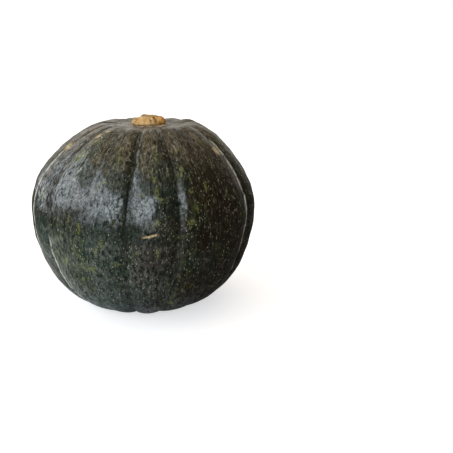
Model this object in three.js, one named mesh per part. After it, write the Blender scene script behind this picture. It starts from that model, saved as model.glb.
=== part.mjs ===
// A kabocha squash: one grown fruit with ribs, and the corky stub of its stem set in the crown.
// Millimetres, +Z up. The fruit stands on its blossom end, with the origin at the middle of that foot.
// An azimuth counts from the front (-Y) towards +X.

import * as THREE from 'three';
import { mergeVertices } from 'three/addons/utils/BufferGeometryUtils.js';

// Driving dimensions of the fruit.
const WIDEST_RADIUS = 95;
const WIDEST_HEIGHT = 86;
const CREST_RADIUS = 37;
const CREST_HEIGHT = 155.6;
const SEAT_RADIUS = 15.5;
const SEAT_HEIGHT = 154.4;
const FOOT_RADIUS = 24;
const BLOSSOM_RADIUS = 13;
const BLOSSOM_DEPTH = 2.4;
const BLOSSOM_NUB_RADIUS = 4.5;
const BLOSSOM_NUB_HEIGHT = 1.3;

// How far each stretch of the outline runs straight on from its ends before it bends away.
const CROWN_RUN = 9;
const CREST_RUN = 14.5;
const ABOVE_WIDEST_RUN = 37;
const BELOW_WIDEST_RUN = 18;
const FOOT_RUN = 60.5;

// The fruit is a little shallower than it is wide, and its crown leans to one side of its foot, by a power
// of the height above the widest place.
const DEPTH_TO_WIDTH = 0.98;
const CROWN_LEAN = 4.5;
const CROWN_LEAN_POWER = 3;

// The grooves between the ribs: each one's azimuth in degrees, its depth, and how far the crest of the rib
// that follows it stands out of the plain outline.
const GROOVES = [
  { azimuth: -71.5, depth: 2.2, crest: -0.2 },
  { azimuth: -53, depth: 1.6, crest: 0.3 },
  { azimuth: -29, depth: 1.2, crest: 0.4 },
  { azimuth: -9.7, depth: 4.2, crest: 1.1 },
  { azimuth: 14.8, depth: 2.6, crest: 0.1 },
  { azimuth: 41, depth: 1.6, crest: 0.4 },
  { azimuth: 63.8, depth: 3.4, crest: 0.6 },
  { azimuth: 85, depth: 2.0, crest: 0 },
  { azimuth: 108, depth: 3.0, crest: 1.3 },
  { azimuth: 133, depth: 1.5, crest: 1.2 },
  { azimuth: 161, depth: 3.2, crest: 1.6 },
  { azimuth: 182, depth: 2.2, crest: -0.4 },
  { azimuth: 202, depth: 1.3, crest: -2.2 },
  { azimuth: 221, depth: 3.2, crest: -0.7 },
  { azimuth: 244, depth: 1.8, crest: -0.3 },
  { azimuth: 266, depth: 2.8, crest: -0.8 },
];
// A groove reaches its full depth at these distances from the axis, on the crown and on the underside.
const CROWN_GROOVE_RADIUS = 60;
const FOOT_GROOVE_RADIUS = 74;
// This share of a groove's depth is a round fall from the rib's crest, and the rest is the sharper groove.
const ROUND_SHARE = 0.45;
const SHARP_POWER = 5;

// Driving dimensions of the stem stub, from its flat underside up.
const STEM_CLEARANCE = 0.3;
const STEM_BASE_RADIUS = 13.6;
const STEM_BASE_RISE = 1.8;
const STEM_BASE_TUCK = 1.4;
const STEM_CUT_RADIUS = 6.8;
const STEM_CUT_FLOOR_RADIUS = 4.4;
const STEM_CUT_SINK = 0.6;
const STEM_HEIGHT = 7;
// The cut end leans this far to one side of the stub's base.
const STEM_CUT_LEAN = 0.4;
// The stub swells out at its blunt angles and finer ridges, in millimetres.
const STEM_ANGLES = { count: 5, swell: 0.7 };
const STEM_RIDGES = { count: 17, swell: 0.3 };
// A cleft runs down one side and fades towards the base, and beyond it a lobe juts out and up at the middle
// of the stub's height.
const STEM_CLEFT = { azimuth: 35, width: 12, depth: 1.8, bottom: 1, top: 4 };
const STEM_LOBE = { azimuth: 82, width: 46, middle: 4.6, rise: 4.2, reach: 0.8, lift: 1.9 };

// Fineness: columns of vertices in each rib and round the stem, and rows along each stretch of outline.
const COLUMNS_PER_RIB = 6;
const STEM_COLUMNS = 68;
const BLOSSOM_ROWS = 5;
const FLANK_ROWS = 15;
const SHOULDER_ROWS = 12;
const CROWN_ROWS = 4;
const STEM_SIDE_ROWS = 8;
const MERGE_DISTANCE = 1e-3;

const COLOURS = { rind: 0x3b4033, cork: 0xc49a63 };

const radians = THREE.MathUtils.degToRad;

/** Eases from 0 at the low limit to 1 at the high one. */
const ease = (value, low, high) => THREE.MathUtils.smoothstep(value, low, high);

/** A hump that is 1 at the middle, and falls to nothing at the width to either side of it. */
function hump(distance, width) {
  const share = Math.min(Math.abs(distance) / width, 1);
  return Math.cos((share * Math.PI) / 2) ** 2;
}

/** The smallest turn between two azimuths in degrees. */
function turnBetween(a, b) {
  return Math.abs(THREE.MathUtils.euclideanModulo(a - b + 180, 360) - 180);
}

/** Turns an outline about Z, with a column at each azimuth, raised along its normal by a relief. */
function turnedSurface(outline, columns, relief) {
  const lathe = new THREE.LatheGeometry(outline, columns.length);
  const position = lathe.getAttribute('position');
  const normal = lathe.getAttribute('normal');
  for (let vertex = 0; vertex < position.count; vertex += 1) {
    const row = vertex % outline.length;
    const column = columns[Math.floor(vertex / outline.length) % columns.length];
    const raised = relief(outline[row], column);
    const radius = outline[row].x + raised * normal.getZ(row);
    const height = outline[row].y + raised * normal.getY(row);
    const angle = radians(column.azimuth);
    position.setXYZ(vertex, radius * Math.sin(angle), -radius * Math.cos(angle), height);
  }
  return lathe;
}

/** Moves every vertex of a surface by a rule. */
function moveVertices(geometry, rule) {
  const position = geometry.getAttribute('position');
  const vertex = new THREE.Vector3();
  for (let index = 0; index < position.count; index += 1) {
    rule(vertex.fromBufferAttribute(position, index));
    position.setXYZ(index, vertex.x, vertex.y, vertex.z);
  }
}

/** Joins the vertices that meet at the seam and the poles, and drops the triangles that this collapses. */
function closedSurface(geometry) {
  geometry.deleteAttribute('normal');
  geometry.deleteAttribute('uv');
  const merged = mergeVertices(geometry, MERGE_DISTANCE);
  const index = merged.getIndex().array;
  const kept = [];
  for (let corner = 0; corner < index.length; corner += 3) {
    const [a, b, c] = index.slice(corner, corner + 3);
    if (a !== b && b !== c && c !== a) {
      kept.push(a, b, c);
    }
  }
  merged.setIndex(kept);
  merged.computeVertexNormals();
  return merged;
}

/** The hollow of the blossom end, from its scar on the axis out to the foot. */
function blossomPoint(share) {
  const radius = share * BLOSSOM_RADIUS;
  const hollow = BLOSSOM_DEPTH * hump(radius, BLOSSOM_RADIUS);
  const nub = BLOSSOM_NUB_HEIGHT * hump(radius, BLOSSOM_NUB_RADIUS);
  return new THREE.Vector2(radius, hollow - nub);
}

/** Half of the fruit's upright section, from the blossom scar round the flank to the stem seat. */
function fruitOutline() {
  const blossom = Array.from({ length: BLOSSOM_ROWS }, (_, row) => blossomPoint(row / BLOSSOM_ROWS));
  const foot = new THREE.Vector2(BLOSSOM_RADIUS, 0);
  const flank = new THREE.CubicBezierCurve(
    new THREE.Vector2(FOOT_RADIUS, 0),
    new THREE.Vector2(FOOT_RADIUS + FOOT_RUN, 0),
    new THREE.Vector2(WIDEST_RADIUS, WIDEST_HEIGHT - BELOW_WIDEST_RUN),
    new THREE.Vector2(WIDEST_RADIUS, WIDEST_HEIGHT),
  );
  const shoulder = new THREE.CubicBezierCurve(
    new THREE.Vector2(WIDEST_RADIUS, WIDEST_HEIGHT),
    new THREE.Vector2(WIDEST_RADIUS, WIDEST_HEIGHT + ABOVE_WIDEST_RUN),
    new THREE.Vector2(CREST_RADIUS + CREST_RUN, CREST_HEIGHT),
    new THREE.Vector2(CREST_RADIUS, CREST_HEIGHT),
  );
  const crown = new THREE.CubicBezierCurve(
    new THREE.Vector2(CREST_RADIUS, CREST_HEIGHT),
    new THREE.Vector2(CREST_RADIUS - CROWN_RUN, CREST_HEIGHT),
    new THREE.Vector2(SEAT_RADIUS + CROWN_RUN, SEAT_HEIGHT),
    new THREE.Vector2(SEAT_RADIUS, SEAT_HEIGHT),
  );
  const seat = new THREE.Vector2(0, SEAT_HEIGHT);
  return [
    ...blossom,
    foot,
    ...flank.getSpacedPoints(FLANK_ROWS),
    ...shoulder.getSpacedPoints(SHOULDER_ROWS).slice(1),
    ...crown.getSpacedPoints(CROWN_ROWS).slice(1),
    seat,
  ];
}

/** The fruit's columns: as many in each rib, so that one runs down every groove. */
function fruitColumns() {
  return GROOVES.flatMap((groove, rib) => {
    const next = GROOVES[(rib + 1) % GROOVES.length];
    const width = THREE.MathUtils.euclideanModulo(next.azimuth - groove.azimuth, 360);
    return Array.from({ length: COLUMNS_PER_RIB }, (_, column) => {
      const across = column / COLUMNS_PER_RIB;
      return {
        azimuth: groove.azimuth + across * width,
        fromCrest: Math.abs(2 * across - 1),
        depth: across < 0.5 ? groove.depth : next.depth,
        crest: groove.crest,
      };
    });
  });
}

/** How far the ribs raise the fruit's skin: round crests, and grooves that sharpen towards their line. */
function ribRelief(point, column) {
  const fade =
    point.y > WIDEST_HEIGHT
      ? ease(point.x, SEAT_RADIUS, CROWN_GROOVE_RADIUS)
      : ease(point.x, FOOT_RADIUS, FOOT_GROOVE_RADIUS);
  const round = ROUND_SHARE * column.fromCrest ** 2;
  const sharp = (1 - ROUND_SHARE) * column.fromCrest ** SHARP_POWER;
  const crest = column.crest * hump(column.fromCrest, 1);
  return fade * (crest - column.depth * (round + sharp));
}

function makeFruit() {
  const surface = turnedSurface(fruitOutline(), fruitColumns(), ribRelief);
  moveVertices(surface, (vertex) => {
    const aboveWidest = Math.max(vertex.z - WIDEST_HEIGHT, 0) / (SEAT_HEIGHT - WIDEST_HEIGHT);
    vertex.x += CROWN_LEAN * aboveWidest ** CROWN_LEAN_POWER;
    vertex.y *= DEPTH_TO_WIDTH;
  });
  const fruit = new THREE.Mesh(
    closedSurface(surface),
    new THREE.MeshStandardMaterial({ color: COLOURS.rind, roughness: 0.45, metalness: 0 }),
  );
  fruit.name = 'fruit';
  return fruit;
}

/** Half of the stem stub's section, from the middle of its underside to the middle of its cut. */
function stemOutline() {
  const side = new THREE.CubicBezierCurve(
    new THREE.Vector2(STEM_BASE_RADIUS, STEM_BASE_RISE),
    new THREE.Vector2(STEM_BASE_RADIUS - STEM_BASE_TUCK, STEM_HEIGHT * 0.66),
    new THREE.Vector2(STEM_CUT_RADIUS + STEM_BASE_TUCK, STEM_HEIGHT * 0.7),
    new THREE.Vector2(STEM_CUT_RADIUS, STEM_HEIGHT),
  );
  return [
    new THREE.Vector2(0, 0),
    new THREE.Vector2(STEM_BASE_RADIUS - STEM_BASE_TUCK, 0),
    ...side.getSpacedPoints(STEM_SIDE_ROWS),
    new THREE.Vector2(STEM_CUT_FLOOR_RADIUS, STEM_HEIGHT - STEM_CUT_SINK),
    new THREE.Vector2(0, STEM_HEIGHT - STEM_CUT_SINK),
  ];
}

/** How far the stub's blunt angles and fine ridges stand out, and its cleft stands in. */
function stemRelief(point, column) {
  const offFloor = ease(point.y, 0, STEM_BASE_RISE);
  const offCut = ease(point.x, STEM_CUT_FLOOR_RADIUS, STEM_BASE_RADIUS - STEM_BASE_TUCK);
  const angle = radians(column.azimuth);
  const angles = STEM_ANGLES.swell * Math.cos(STEM_ANGLES.count * angle);
  const ridges = STEM_RIDGES.swell * Math.cos(STEM_RIDGES.count * angle);
  const fromCleft = turnBetween(column.azimuth, STEM_CLEFT.azimuth);
  const offBase = ease(point.y, STEM_CLEFT.bottom, STEM_CLEFT.top);
  const cleft = STEM_CLEFT.depth * hump(fromCleft, STEM_CLEFT.width) * offBase;
  return offFloor * offCut * (angles + ridges - cleft);
}

/** How much of the lobe beyond the cleft a vertex of the stub takes. */
function lobeShare(vertex) {
  const azimuth = THREE.MathUtils.radToDeg(Math.atan2(vertex.x, -vertex.y));
  const turned = hump(turnBetween(azimuth, STEM_LOBE.azimuth), STEM_LOBE.width);
  const risen = hump(vertex.z - STEM_LOBE.middle, STEM_LOBE.rise);
  const outward = ease(
    Math.hypot(vertex.x, vertex.y),
    STEM_CUT_FLOOR_RADIUS,
    STEM_BASE_RADIUS - STEM_BASE_TUCK,
  );
  return turned * risen * outward;
}

function makeStem() {
  const columns = Array.from({ length: STEM_COLUMNS }, (_, column) => ({
    azimuth: (column * 360) / STEM_COLUMNS,
  }));
  const surface = turnedSurface(stemOutline(), columns, stemRelief);
  moveVertices(surface, (vertex) => {
    const lobe = lobeShare(vertex);
    vertex.x += STEM_LOBE.reach * lobe + STEM_CUT_LEAN * (vertex.z / STEM_HEIGHT) ** 2;
    vertex.z += STEM_LOBE.lift * lobe;
  });
  const stem = new THREE.Mesh(
    closedSurface(surface),
    new THREE.MeshStandardMaterial({ color: COLOURS.cork, roughness: 0.9, metalness: 0 }),
  );
  stem.name = 'stem';
  stem.position.set(CROWN_LEAN, 0, SEAT_HEIGHT + STEM_CLEARANCE);
  return stem;
}

const squash = new THREE.Group();
squash.name = 'kabocha_squash';
squash.add(makeFruit(), makeStem());

export default squash;
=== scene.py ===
"""A kabocha squash: one grown fruit with ribs, and the corky stub of its stem set in the crown.

Lengths are in metres and angles in degrees. The fruit stands on its blossom end at the origin, with
+Z up. An azimuth counts from the front (-Y) towards +X. A place down the rind is told by its
distance along the rind from the edge of the stem's seat.
"""

import logging
import math
from dataclasses import dataclass
from enum import Enum
from typing import Any, Mapping, Sequence, Union

import bpy
import numpy as np
from mathutils import Matrix, Vector


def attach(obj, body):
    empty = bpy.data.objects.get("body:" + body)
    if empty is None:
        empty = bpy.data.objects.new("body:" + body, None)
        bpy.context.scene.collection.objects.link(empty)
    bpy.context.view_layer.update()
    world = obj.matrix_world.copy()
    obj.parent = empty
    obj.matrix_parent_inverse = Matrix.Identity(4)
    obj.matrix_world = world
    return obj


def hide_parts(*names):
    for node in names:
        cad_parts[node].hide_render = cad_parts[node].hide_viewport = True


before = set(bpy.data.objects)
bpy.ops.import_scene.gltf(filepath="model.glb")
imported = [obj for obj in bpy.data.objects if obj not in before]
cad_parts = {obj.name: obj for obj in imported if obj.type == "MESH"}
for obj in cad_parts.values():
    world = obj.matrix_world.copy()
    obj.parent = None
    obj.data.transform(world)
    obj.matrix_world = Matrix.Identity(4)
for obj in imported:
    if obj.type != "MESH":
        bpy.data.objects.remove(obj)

LOG = logging.getLogger("kabocha")
BODY = "root"
IMAGE_SIDE = 453
SENSOR_WIDTH = 36.0
MM = 0.001
WELD_DISTANCE = 1e-6
LEAST_PUSH = 1e-7
LEAST_TURN = 1e-4
CURVE_SAMPLES = 400
SEARCH_BATCHES = 40

Colour = tuple[float, float, float, float]
Place = tuple[float, float, float]
Span = tuple[float, float]


def paint(red: float, green: float, blue: float) -> Colour:
    """A full colour from its three linear parts."""
    return (red, green, blue, 1.0)


def ease(value: np.ndarray, low: float, high: float) -> np.ndarray:
    """Eases from 0 at one limit to 1 at the other.

    Args:
        value: The numbers to ease.
        low: Where the result is 0.
        high: Where the result is 1.

    Returns:
        The eased shares.
    """
    share = np.clip((value - low) / (high - low), 0.0, 1.0)
    return share * share * (3.0 - 2.0 * share)


def hump(distance: np.ndarray, width: float) -> np.ndarray:
    """A hump that is 1 at its middle and falls to nothing at a width to either side.

    Args:
        distance: How far each place is from the middle.
        width: How far from the middle the hump ends.

    Returns:
        The hump's share of its height at each place.
    """
    share = np.clip(np.abs(distance) / width, 0.0, 1.0)
    return np.cos(share * math.pi / 2) ** 2


def turn_between(first: np.ndarray, second: float) -> np.ndarray:
    """The angle from one azimuth to others, by the shorter way round.

    Args:
        first: The azimuths to reach.
        second: The azimuth to start from.

    Returns:
        The angles, from -180 to 180.
    """
    return (first - second + 180.0) % 360.0 - 180.0


def evenly_spaced(curve: np.ndarray, steps: int) -> np.ndarray:
    """Points that cut a curve into steps of one length.

    Args:
        curve: Close points along the curve, one to a row.
        steps: How many steps the result has.

    Returns:
        The points, from the curve's start to its end.
    """
    reach = np.append(0.0, np.cumsum(np.hypot(*np.diff(curve, axis=0).T)))
    wanted = np.linspace(0.0, reach[-1], steps + 1)
    return np.stack([np.interp(wanted, reach, axis) for axis in curve.T], axis=1)


def bezier(corners: Sequence[Span], steps: int) -> np.ndarray:
    """A cubic Bezier curve cut into steps of one length.

    Args:
        corners: The curve's start, its two handles and its end.
        steps: How many steps the result has.

    Returns:
        The points, from the curve's start to its end.
    """
    start, first, second, end = (np.array(corner) for corner in corners)
    share = np.linspace(0.0, 1.0, CURVE_SAMPLES)[:, None]
    rest = 1.0 - share
    curve = (
        rest**3 * start
        + 3 * rest**2 * share * first
        + 3 * rest * share**2 * second
        + share**3 * end
    )
    return evenly_spaced(curve, steps)


class Channel:
    """One output of a shader node. Arithmetic on it adds Math nodes."""

    def __init__(self, graph: "ShaderGraph", socket: bpy.types.NodeSocket | None) -> None:
        """Wraps a socket.

        Args:
            graph: The graph that the socket is in.
            socket: The output to read, or None on a node that has none.
        """
        self.graph = graph
        self.socket = socket

    def __add__(self, other: "Operand") -> "Channel":
        """Adds a channel or a number."""
        return self.graph.math("ADD", self, other)

    def __radd__(self, other: float) -> "Channel":
        """Adds this channel to a number."""
        return self.graph.math("ADD", other, self)

    def __sub__(self, other: "Operand") -> "Channel":
        """Takes a channel or a number away."""
        return self.graph.math("SUBTRACT", self, other)

    def __rsub__(self, other: float) -> "Channel":
        """Takes this channel away from a number."""
        return self.graph.math("SUBTRACT", other, self)

    def __mul__(self, other: "Operand") -> "Channel":
        """Multiplies by a channel or a number."""
        return self.graph.math("MULTIPLY", self, other)

    def __rmul__(self, other: float) -> "Channel":
        """Multiplies a number by this channel."""
        return self.graph.math("MULTIPLY", other, self)


Operand = Union[Channel, float]


class ShaderGraph:
    """The nodes of one material or of the world."""

    def __init__(self, owner: Union[bpy.types.Material, bpy.types.World]) -> None:
        """Empties the owner's node tree and works in it.

        Args:
            owner: The material or world.
        """
        owner.use_nodes = True
        self.owner = owner
        self.tree = owner.node_tree
        self.tree.nodes.clear()

    def node(
        self,
        kind: str,
        settings: Mapping[str, Any] | None = None,
        inputs: Mapping[Union[str, int], Any] | None = None,
        output: Union[str, int] = 0,
    ) -> Channel:
        """Adds a node.

        Args:
            kind: The node's type.
            settings: Its properties, set before its sockets.
            inputs: A value or a channel for each socket that isn't left as it is.
            output: The output to read.

        Returns:
            The channel of that output.
        """
        made = self.tree.nodes.new(kind)
        for key, value in (settings or {}).items():
            setattr(made, key, value)
        for key, value in (inputs or {}).items():
            if isinstance(value, Channel):
                self.tree.links.new(value.socket, made.inputs[key])
            else:
                made.inputs[key].default_value = value
        return Channel(self, made.outputs[output] if len(made.outputs) else None)

    def math(self, operation: str, *operands: Operand) -> Channel:
        """Adds a Math node.

        Args:
            operation: What it does.
            operands: The channels or numbers that it reads.

        Returns:
            Its result.
        """
        return self.node("ShaderNodeMath", {"operation": operation}, dict(enumerate(operands)))

    def vector(self, operation: str, *operands: Any, output: str = "Vector") -> Channel:
        """Adds a Vector Math node.

        Args:
            operation: What it does.
            operands: The channels or vectors that it reads.
            output: "Vector", or "Value" for a number.

        Returns:
            Its result.
        """
        inputs = dict(enumerate(operands))
        return self.node("ShaderNodeVectorMath", {"operation": operation}, inputs, output)

    def part(self, vector: Channel, axis: str) -> Channel:
        """Reads the X, the Y or the Z of a vector."""
        return self.node("ShaderNodeSeparateXYZ", {}, {0: vector}, axis)

    def drawn(self, place: Channel, share: float) -> Channel:
        """Shortens a place along Z to a share, so that a pattern read there is drawn out."""
        return self.vector("MULTIPLY", place, (1.0, 1.0, share))

    def rise(self, value: Channel, low: float, high: float) -> Channel:
        """Eases from 0 where a channel is at one limit to 1 where it is at the other.

        Args:
            value: The channel to read.
            low: Where the result is 0.
            high: Where the result is 1.

        Returns:
            The eased share.
        """
        if low > high:
            return 1.0 - self.rise(value, high, low)
        limits = {"Value": value, "From Min": low, "From Max": high}
        return self.node("ShaderNodeMapRange", {"interpolation_type": "SMOOTHSTEP"}, limits)

    def mix(self, share: Operand, first: Any, second: Any) -> Channel:
        """Mixes two colours.

        Args:
            share: How much of the second one shows.
            first: A colour, or a channel of colour.
            second: A colour, or a channel of colour.

        Returns:
            The mixed colour.
        """
        settings = {"data_type": "RGBA"}
        return self.node("ShaderNodeMix", settings, {0: share, 6: first, 7: second}, 2)

    def noise(
        self, place: Channel, waves: float, detail: float = 2.0, rough: float = 0.5
    ) -> Channel:
        """Adds a noise texture.

        Args:
            place: Where it is read.
            waves: Its waves to a metre.
            detail: Its octaves.
            rough: How strong the finer octaves are.

        Returns:
            A number about one half.
        """
        inputs = {"Vector": place, "Scale": waves, "Detail": detail, "Roughness": rough}
        return self.node("ShaderNodeTexNoise", {}, inputs)

    def ragged(self, place: Channel, waves: float, amount: float) -> Channel:
        """Shakes a place about, so that a pattern read there has ragged edges.

        Args:
            place: The place to shake.
            waves: The shake's waves to a metre.
            amount: How far it goes.

        Returns:
            The shaken place.
        """
        inputs = {"Vector": place, "Scale": waves, "Detail": 3.0}
        shake = self.node("ShaderNodeTexNoise", {}, inputs, "Color")
        centred = self.vector("SUBTRACT", shake, (0.5, 0.5, 0.5))
        scaled = self.vector("MULTIPLY", centred, (2 * amount,) * 3)
        return self.vector("ADD", place, scaled)

    def azimuth(self, x: Channel, y: Channel) -> Channel:
        """The azimuth of a place, in degrees from -Y towards +X."""
        return self.math("DEGREES", self.math("ARCTAN2", x, y * -1.0))

    def beside(self, azimuth: Channel, middle: float, half_width: float, edge: float) -> Channel:
        """Finds what lies close to an azimuth.

        Args:
            azimuth: The azimuth of each place.
            middle: The azimuth to be close to.
            half_width: How many degrees away still count in full.
            edge: How many more degrees it takes to fade out.

        Returns:
            A share that is 1 close to the middle.
        """
        turn = self.math("ABSOLUTE", self.math("WRAP", azimuth - middle, 180.0, -180.0))
        return self.rise(turn, half_width + edge, half_width)

    def attribute(self, name: str, output: str = "Fac") -> Channel:
        """Reads a value that a mesh carries at its vertices.

        Args:
            name: The value's name.
            output: "Fac" for a number and "Vector" for a vector.

        Returns:
            The channel of that value.
        """
        return self.node("ShaderNodeAttribute", {"attribute_name": name}, {}, output)


class Layers:
    """The layers of one surface, each laid over those before it, with a clear coat on top."""

    COAT_IOR = 1.85
    SPECULAR = 0.04

    def __init__(
        self, graph: ShaderGraph, colour: Any, rough: Operand, height: Channel, coat: Operand
    ) -> None:
        """Starts with the lowest layer.

        Args:
            graph: The material's graph.
            colour: The lowest layer's colour.
            rough: Its roughness.
            height: Its relief, in millimetres.
            coat: How much of a clear waxy coat lies on it.
        """
        self.graph = graph
        self.colour = colour
        self.rough = rough
        self.height = height
        self.coat = coat

    def lay(
        self,
        share: Channel,
        colour: Any,
        rough: float | None = None,
        height: float = 0.0,
        bare: float = 0.0,
    ) -> None:
        """Lays one more layer.

        Args:
            share: Where it covers what is below it.
            colour: Its colour.
            rough: Its roughness, where it has one of its own.
            height: How far it stands proud, in millimetres.
            bare: How much of the coat it lacks.
        """
        self.colour = self.graph.mix(share, self.colour, colour)
        if rough is not None:
            self.rough = self.rough + (rough - self.rough) * share
        if height:
            self.height = self.height + share * height
        if bare:
            self.coat = self.coat * (1.0 - share * bare)

    def surface(self, coat_rough: float) -> bpy.types.Material:
        """Makes the shader of all the layers and finishes the material.

        Args:
            coat_rough: The roughness of the coat.

        Returns:
            The finished material.
        """
        relief = {"Strength": 1.0, "Distance": MM, "Height": self.height}
        normal = self.graph.node("ShaderNodeBump", {}, relief)
        inputs = {
            "Base Color": self.colour,
            "Roughness": self.rough,
            "Coat Weight": self.coat,
            "Coat Roughness": coat_rough,
            "Coat IOR": self.COAT_IOR,
            "Specular IOR Level": self.SPECULAR,
            "Normal": normal,
        }
        shader = self.graph.node("ShaderNodeBsdfPrincipled", {}, inputs)
        self.graph.node("ShaderNodeOutputMaterial", {}, {"Surface": shader})
        return self.graph.owner


class Side(Enum):
    """The way in which a surface is pushed."""

    ALONG_NORMAL = "NORMAL"
    ALONG_X = "X"
    ALONG_Y = "Y"
    ALONG_Z = "Z"


class Sculpt:
    """One mesh that is shaped with Blender's own modelling tools."""

    def __init__(self, name: str) -> None:
        """Takes the primitive that was just added as the piece.

        Args:
            name: The piece's name.
        """
        self.piece = bpy.context.object
        self.piece.name = name
        self.piece.data.name = name

    @classmethod
    def turned(
        cls,
        name: str,
        rows: np.ndarray,
        axis: Place,
        start: float,
        turns: Sequence[tuple[float, int]],
    ) -> "Sculpt":
        """Extrudes an outline from a point and spins it about an upright axis.

        Args:
            name: The piece's name.
            rows: The outline, as a radius and a height above the axis's foot to each row.
            axis: The foot of the axis.
            start: The azimuth of the first column.
            turns: How many degrees each spin turns, and in how many steps.

        Returns:
            The closed round shape.
        """
        bpy.ops.object.select_all(action="DESELECT")
        bpy.ops.mesh.primitive_plane_add(size=MM)
        sculpt = cls(name)
        bpy.ops.object.mode_set(mode="EDIT")
        bpy.ops.mesh.select_all(action="SELECT")
        bpy.ops.mesh.merge(type="CENTER")
        first = math.radians(start)
        right, back = math.sin(first), -math.cos(first)
        points = [Vector(axis) + Vector((r * right, r * back, z)) for r, z in rows]
        bpy.ops.transform.translate(value=points[0])
        for below, above in zip(points, points[1:]):
            bpy.ops.mesh.extrude_region_move(TRANSFORM_OT_translate={"value": above - below})
        bpy.ops.mesh.select_all(action="SELECT")
        for angle, steps in turns:
            bpy.ops.mesh.spin(steps=steps, angle=math.radians(angle), center=axis, axis=(0, 0, 1))
        bpy.ops.mesh.select_all(action="SELECT")
        bpy.ops.mesh.remove_doubles(threshold=WELD_DISTANCE)
        bpy.ops.mesh.normals_make_consistent(inside=False)
        bpy.ops.object.mode_set(mode="OBJECT")
        return sculpt

    @property
    def points(self) -> np.ndarray:
        """The places of the mesh's vertices.

        Returns:
            X, Y and Z, one vertex to a row.
        """
        found = np.empty(len(self.piece.data.vertices) * 3)
        self.piece.data.vertices.foreach_get("co", found)
        return found.reshape(-1, 3)

    def scale(self, shares: Place) -> None:
        """Stretches the whole mesh about the origin.

        Args:
            shares: How much along X, Y and Z.
        """
        bpy.ops.object.mode_set(mode="EDIT")
        bpy.ops.mesh.select_all(action="SELECT")
        bpy.ops.transform.resize(value=shares, center_override=(0.0, 0.0, 0.0))
        bpy.ops.object.mode_set(mode="OBJECT")

    def carry(self, name: str, values: np.ndarray) -> None:
        """Stores a number or a vector at each vertex.

        Args:
            name: What the material calls it.
            values: The numbers, or the vectors one to a row.
        """
        kind, slot = ("FLOAT_VECTOR", "vector") if values.ndim == 2 else ("FLOAT", "value")
        made = self.piece.data.attributes.new(name, kind, "POINT")
        made.data.foreach_set(slot, values.astype(np.float32).ravel())

    def displace(self, weights: np.ndarray, **settings: Any) -> None:
        """Moves the vertices with a displace modifier, and applies it.

        Args:
            weights: How much of the move each vertex takes, up to 1.
            settings: The modifier's properties.
        """
        group = self.piece.vertex_groups.new(name="weights")
        for index in np.flatnonzero(weights > 0.0).tolist():
            group.add([index], weights[index], "REPLACE")
        made = self.piece.modifiers.new("displace", "DISPLACE")
        made.vertex_group = "weights"
        for key, value in settings.items():
            setattr(made, key, value)
        bpy.ops.object.modifier_apply(modifier="displace")
        self.piece.vertex_groups.remove(self.piece.vertex_groups["weights"])

    def push(self, amounts: np.ndarray, side: Side = Side.ALONG_NORMAL) -> None:
        """Pushes each vertex by its own amount.

        Args:
            amounts: How far each one goes.
            side: Which way they go.
        """
        for sign in (-1, 1):
            share = np.clip(amounts * sign, 0.0, None)
            most = float(share.max())
            if most > LEAST_PUSH:
                strength = sign * most
                self.displace(share / most, direction=side.value, mid_level=0.0, strength=strength)

    def roughen(self, lumps: Sequence[Span], weights: np.ndarray) -> None:
        """Raises and sinks the surface in cloudy lumps.

        Args:
            lumps: How large the lumps of each cast are, and how far they move the surface in all.
            weights: How much of that each vertex takes.
        """
        for size, amount in lumps:
            texture = bpy.data.textures.new("clouds", "CLOUDS")
            texture.noise_scale = size
            self.displace(weights, texture=texture, texture_coords="LOCAL", strength=amount)

    def finish(self, material: bpy.types.Material, node: str, slot: str) -> bpy.types.Object:
        """Smooths and dresses the piece, and puts it in the place of a solid of the frame.

        Args:
            material: What it is dressed in.
            node: The solid that it stands for.
            slot: The record's material slot; not used.

        Returns:
            The piece.
        """
        bpy.ops.object.shade_smooth()
        self.piece.data.materials.append(material)
        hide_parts(node)
        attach(self.piece, BODY)
        LOG.info("%s: %d faces", self.piece.name, len(self.piece.data.polygons))
        return self.piece


@dataclass(frozen=True)
class Groove:
    """One groove between two ribs, and the rib that follows it towards +X.

    Its depth, the rib's crest and the brow that swells its edge towards +X are in millimetres, and
    so is how far its pale line lies aside from its bottom. The line runs between two distances from
    the stem. The shade is how much painted shade darkens the bottom.
    """

    azimuth: float
    depth: float
    crest: float
    line: float = 0.0
    line_from: float = 0.0
    line_to: float = 0.25
    line_aside: float = 0.0
    line_wide: float = 1.0
    shade: float = 0.35
    brow: float = 0.0


class MarkKind(Enum):
    """What a mark is made of, with its ragged edge's waves to a metre and how far they stray."""

    LIME = ("unripe green", 260.0, 0.0028)
    SPECKLE = ("a patch of dense green flecks", 120.0, 0.005)
    RIPPLE = ("wrinkles across the rind", 120.0, 0.004)
    GLOSS = ("rubbed wax", 200.0, 0.004)
    SCRATCH = ("healed scratch", 320.0, 0.0007)
    SCAB = ("corky scab", 330.0, 0.0028)


LIME, SPECKLE, RIPPLE, GLOSS, SCRATCH, SCAB = MarkKind


@dataclass(frozen=True)
class Mark:
    """One oval mark on the rind. Its length runs across the rind before it is turned."""

    LEAST_DEPTH = 0.008

    kind: MarkKind
    azimuth: float
    along: float
    length: float
    width: float
    turn: float

    @property
    def size(self) -> Place:
        """Half its length, half its width, and how far it reaches through the rind."""
        return (self.length / 2, self.width / 2, max(self.length, self.LEAST_DEPTH) / 2)


def marks_of(kind: MarkKind, *rows: tuple[float, float, float, float, float]) -> tuple[Mark, ...]:
    """Marks of one kind.

    Args:
        kind: What they are made of.
        rows: The azimuth of each, its place down the rind, its length and its width in
            millimetres, and its turn.

    Returns:
        The marks.
    """
    return tuple(
        Mark(kind, azimuth, along * MM, length * MM, width * MM, turn)
        for azimuth, along, length, width, turn in rows
    )


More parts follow.
